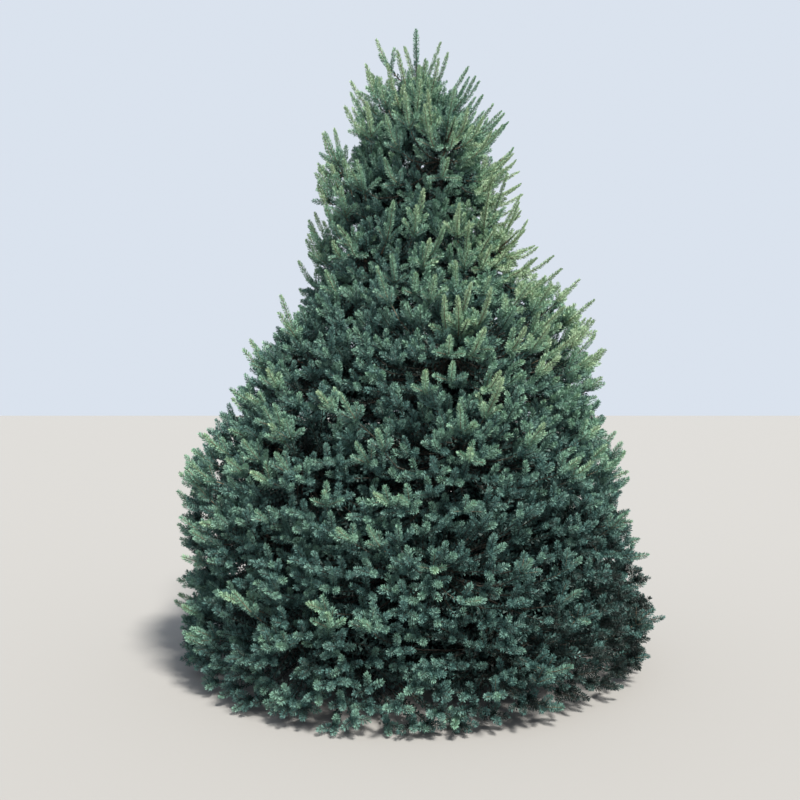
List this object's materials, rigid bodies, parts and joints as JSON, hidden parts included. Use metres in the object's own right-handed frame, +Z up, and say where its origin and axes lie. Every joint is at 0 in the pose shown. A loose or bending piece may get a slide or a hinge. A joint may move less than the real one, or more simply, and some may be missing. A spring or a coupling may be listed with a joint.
{
  "type": "spruce tree",
  "caption": "Whole spruce tree rooted in the ground: a tapering trunk, tiers of boughs and a dense conical crown of blue-green needled twigs that reaches the ground.",
  "frame": {"origin": "middle of the trunk's flat cut at ground level", "axes": "+Z up along the trunk, +X to the right and +Y away as seen from the front"},
  "size_m": [2.7277, 2.6074, 3.69],
  "materials": {
    "bark": "rough scaly bark, grey-brown",
    "limb_bark": "thin bark, brown",
    "needles": "waxy blue-green needles, matte"
  },
  "bodies": {
    "root": {"trunk": "bark", "bough_1_1": "limb_bark", "bough_1_2": "limb_bark", "bough_1_3": "limb_bark", "bough_1_4": "limb_bark", "bough_1_5": "limb_bark", "bough_1_6": "limb_bark", "bough_2_1": "limb_bark", "bough_2_2": "limb_bark", "bough_2_3": "limb_bark", "bough_2_4": "limb_bark", "bough_2_5": "limb_bark", "bough_2_6": "limb_bark", "bough_3_1": "limb_bark", "bough_3_2": "limb_bark", "bough_3_3": "limb_bark", "bough_3_4": "limb_bark", "bough_3_5": "limb_bark", "bough_4_1": "limb_bark", "bough_4_2": "limb_bark", "bough_4_3": "limb_bark", "bough_4_4": "limb_bark", "bough_5_1": "limb_bark", "bough_5_2": "limb_bark", "bough_5_3": "limb_bark", "bough_5_4": "limb_bark", "bough_6_1": "limb_bark", "bough_6_2": "limb_bark", "bough_6_3": "limb_bark", "foliage_1_1": "needles", "foliage_1_2": "needles", "foliage_1_3": "needles", "foliage_1_4": "needles", "foliage_1_5": "needles", "foliage_1_6": "needles", "foliage_2_1": "needles", "foliage_2_2": "needles", "foliage_2_3": "needles", "foliage_2_4": "needles", "foliage_2_5": "needles", "foliage_2_6": "needles", "foliage_3_1": "needles", "foliage_3_2": "needles", "foliage_3_3": "needles", "foliage_3_4": "needles", "foliage_3_5": "needles", "foliage_4_1": "needles", "foliage_4_2": "needles", "foliage_4_3": "needles", "foliage_4_4": "needles", "foliage_5_1": "needles", "foliage_5_2": "needles", "foliage_5_3": "needles", "foliage_5_4": "needles", "foliage_6_1": "needles", "foliage_6_2": "needles", "foliage_6_3": "needles", "foliage_leader": "needles"}
  },
  "joints": []
}
